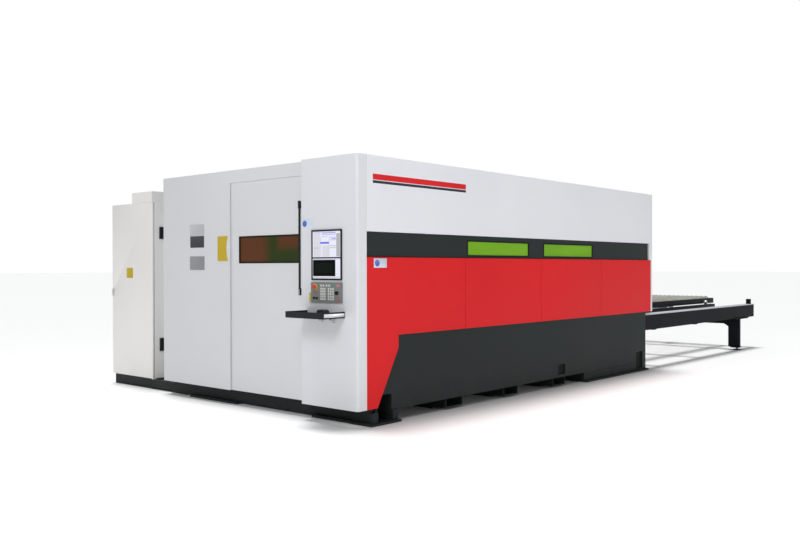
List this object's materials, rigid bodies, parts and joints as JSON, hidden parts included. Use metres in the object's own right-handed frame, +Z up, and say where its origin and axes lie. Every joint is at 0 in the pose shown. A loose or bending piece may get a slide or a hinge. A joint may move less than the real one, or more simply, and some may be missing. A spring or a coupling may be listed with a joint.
{
  "type": "fiber laser cutting machine",
  "caption": "Enclosed flat bed laser cutter with a sliding operator door, side control cabinet, gantry with cutting head and a pallet exchange table at the far end.",
  "frame": {"origin": "middle of the whole machine's bounding box, on the floor", "axes": "+X along the length from the operator end towards the exchange table, +Y from the long front side to the back, +Z up"},
  "size_m": [9.391, 4.05, 2.2],
  "materials": {
    "white_paint": "satin powder coat",
    "red_paint": "satin powder coat",
    "dark_paint": "satin powder coat",
    "band_paint": "satin",
    "green_pane": "tinted",
    "amber_pane": "tinted",
    "black_plastic": "fine grain",
    "console_grey": "satin",
    "red_plastic": "moulded",
    "green_plastic": "moulded",
    "bare_steel": "machined",
    "bed_paint": "satin",
    "aluminium": "anodised",
    "slat_steel": "laser cut"
  },
  "bodies": {
    "machine": {"corner_panel": "white_paint", "left_end_panel": "white_paint", "upper_side_panel": "white_paint", "window_band": "band_paint", "green_panes": "green_pane", "red_panels": "red_paint", "front_skirt": "dark_paint", "rear_skirt": "dark_paint", "back_panels": "white_paint", "rear_end_panel": "white_paint", "roof_panels": "white_paint", "hall_frame": "bed_paint", "monitor": "black_plastic", "console": "console_grey", "keyboard_tray": "black_plastic", "base_tubes": "dark_paint", "bed_feet": "dark_paint", "bed_supports": "bed_paint", "bed_beams": "bed_paint", "linear_guides": "bare_steel", "pallet_tracks": "bed_paint", "scrap_trays": "bed_paint", "table_beams": "dark_paint", "table_cross_members": "dark_paint", "table_legs": "dark_paint", "drive_unit": "bed_paint", "cabinet_shell": "white_paint", "cabinet_hinges": "black_plastic", "cabinet_plinth": "dark_paint", "laser_source": "bed_paint"},
    "door": {"sliding_door": "white_paint", "door_window": "amber_pane", "door_handle": "black_plastic"},
    "stop_mushroom": {"emergency_stop": "red_plastic"},
    "start": {"start_button": "green_plastic"},
    "stop": {"stop_button": "red_plastic"},
    "reset": {"reset_button": "red_plastic"},
    "selector_left": {"left_selector": "black_plastic"},
    "selector_right": {"right_selector": "black_plastic"},
    "override": {"override_knob": "black_plastic"},
    "gantry": {"gantry_beam": "aluminium", "gantry_trucks": "bed_paint", "gantry_motors": "black_plastic"},
    "carriage": {"cross_carriage": "aluminium"},
    "head": {"vertical_slide": "aluminium", "cutting_head": "aluminium"},
    "gate": {"lift_gate": "white_paint"},
    "maintenance": {"maintenance_door": "white_paint"},
    "shaft": {"drive_shaft": "bare_steel"},
    "front_door": {"cabinet_door": "white_paint"},
    "lock": {"cabinet_lock": "black_plastic"},
    "flap": {"cabinet_flap": "white_paint"},
    "pallet_1": {"pallet_1_frame": "bed_paint", "pallet_1_slats": "slat_steel"},
    "pallet_1_near_axle": {"pallet_1_near_wheels": "bare_steel"},
    "pallet_1_far_axle": {"pallet_1_far_wheels": "bare_steel"},
    "pallet_2": {"pallet_2_frame": "bed_paint", "pallet_2_slats": "slat_steel"},
    "pallet_2_near_axle": {"pallet_2_near_wheels": "bare_steel"},
    "pallet_2_far_axle": {"pallet_2_far_wheels": "bare_steel"}
  },
  "joints": [
    {"name": "door_slide", "type": "slide", "parent": "machine", "child": "door", "axis": [0, 1, 0], "range_m": [0, 0.96]},
    {"name": "emergency_stop_press", "type": "slide", "parent": "machine", "child": "stop_mushroom", "axis": [1, 0, 0], "range_m": [0, 0.005], "stiffness_N_per_m": 1500},
    {"name": "start_press", "type": "slide", "parent": "machine", "child": "start", "axis": [1, 0, 0], "range_m": [0, 0.003], "stiffness_N_per_m": 800},
    {"name": "stop_press", "type": "slide", "parent": "machine", "child": "stop", "axis": [1, 0, 0], "range_m": [0, 0.003], "stiffness_N_per_m": 800},
    {"name": "reset_press", "type": "slide", "parent": "machine", "child": "reset", "axis": [1, 0, 0], "range_m": [0, 0.003], "stiffness_N_per_m": 800},
    {"name": "left_selector_turn", "type": "hinge", "parent": "machine", "child": "selector_left", "pos_m": [-4.4545, -1.517, 1.038], "axis": [1, 0, 0], "range_deg": [-45, 45]},
    {"name": "right_selector_turn", "type": "hinge", "parent": "machine", "child": "selector_right", "pos_m": [-4.4545, -1.551, 1.038], "axis": [1, 0, 0], "range_deg": [-45, 45]},
    {"name": "override_turn", "type": "hinge", "parent": "machine", "child": "override", "pos_m": [-4.4545, -1.787, 1.083], "axis": [1, 0, 0], "range_deg": [-135, 135]},
    {"name": "gantry_travel", "type": "slide", "parent": "machine", "child": "gantry", "axis": [1, 0, 0], "range_m": [-1.5, 1.5]},
    {"name": "carriage_travel", "type": "slide", "parent": "gantry", "child": "carriage", "axis": [0, 1, 0], "range_m": [-0.7, 0.7]},
    {"name": "head_lift", "type": "slide", "parent": "carriage", "child": "head", "axis": [0, 0, 1], "range_m": [-0.08, 0.04]},
    {"name": "gate_lift", "type": "slide", "parent": "machine", "child": "gate", "axis": [0, 0, 1], "range_m": [-0.445, 0]},
    {"name": "maintenance_door_swing", "type": "hinge", "parent": "machine", "child": "maintenance", "pos_m": [-2.2345, 0.845, 1], "axis": [0, 0, 1], "range_deg": [0, 110]},
    {"name": "cabinet_door_swing", "type": "hinge", "parent": "machine", "child": "front_door", "pos_m": [-4.2435, 1.242, 1], "axis": [0, 0, 1], "range_deg": [0, 110]},
    {"name": "lock_turn", "type": "hinge", "parent": "front_door", "child": "lock", "pos_m": [-4.2545, 1.995, 1.05], "axis": [1, 0, 0], "range_deg": [-90, 0]},
    {"name": "flap_swing", "type": "hinge", "parent": "machine", "child": "flap", "pos_m": [-4.1095, 1.213, 1], "axis": [0, 0, -1], "range_deg": [0, 85]},
    {"name": "pallet_1_travel", "type": "slide", "parent": "machine", "child": "pallet_1", "axis": [1, 0, 0], "range_m": [-4.53, 0]},
    {"name": "pallet_2_travel", "type": "slide", "parent": "machine", "child": "pallet_2", "axis": [1, 0, 0], "range_m": [0, 4.3]},
    {"name": "pallet_1_near_axle_turn", "type": "hinge", "parent": "pallet_1", "child": "pallet_1_near_axle", "pos_m": [1.7155, -0.58, 0.7203], "axis": [0, 1, 0], "continuous": true},
    {"name": "pallet_1_far_axle_turn", "type": "hinge", "parent": "pallet_1", "child": "pallet_1_far_axle", "pos_m": [4.0755, -0.58, 0.7203], "axis": [0, 1, 0], "continuous": true},
    {"name": "pallet_2_near_axle_turn", "type": "hinge", "parent": "pallet_2", "child": "pallet_2_near_axle", "pos_m": [-2.9045, -0.58, 0.5403], "axis": [0, 1, 0], "continuous": true},
    {"name": "pallet_2_far_axle_turn", "type": "hinge", "parent": "pallet_2", "child": "pallet_2_far_axle", "pos_m": [-0.5445, -0.58, 0.5403], "axis": [0, 1, 0], "continuous": true},
    {"name": "drive_shaft_turn", "type": "hinge", "parent": "machine", "child": "shaft", "pos_m": [4.4255, -0.58, 0.59], "axis": [0, 1, 0], "continuous": true}
  ],
  "couplings": [
    {"joint": "pallet_1_near_axle_turn", "follows": "pallet_1_travel", "rad_per_m": 33.333},
    {"joint": "pallet_1_far_axle_turn", "follows": "pallet_1_travel", "rad_per_m": 33.333},
    {"joint": "pallet_2_near_axle_turn", "follows": "pallet_2_travel", "rad_per_m": 33.333},
    {"joint": "pallet_2_far_axle_turn", "follows": "pallet_2_travel", "rad_per_m": 33.333},
    {"joint": "drive_shaft_turn", "follows": "pallet_1_travel", "rad_per_m": 20}
  ]
}
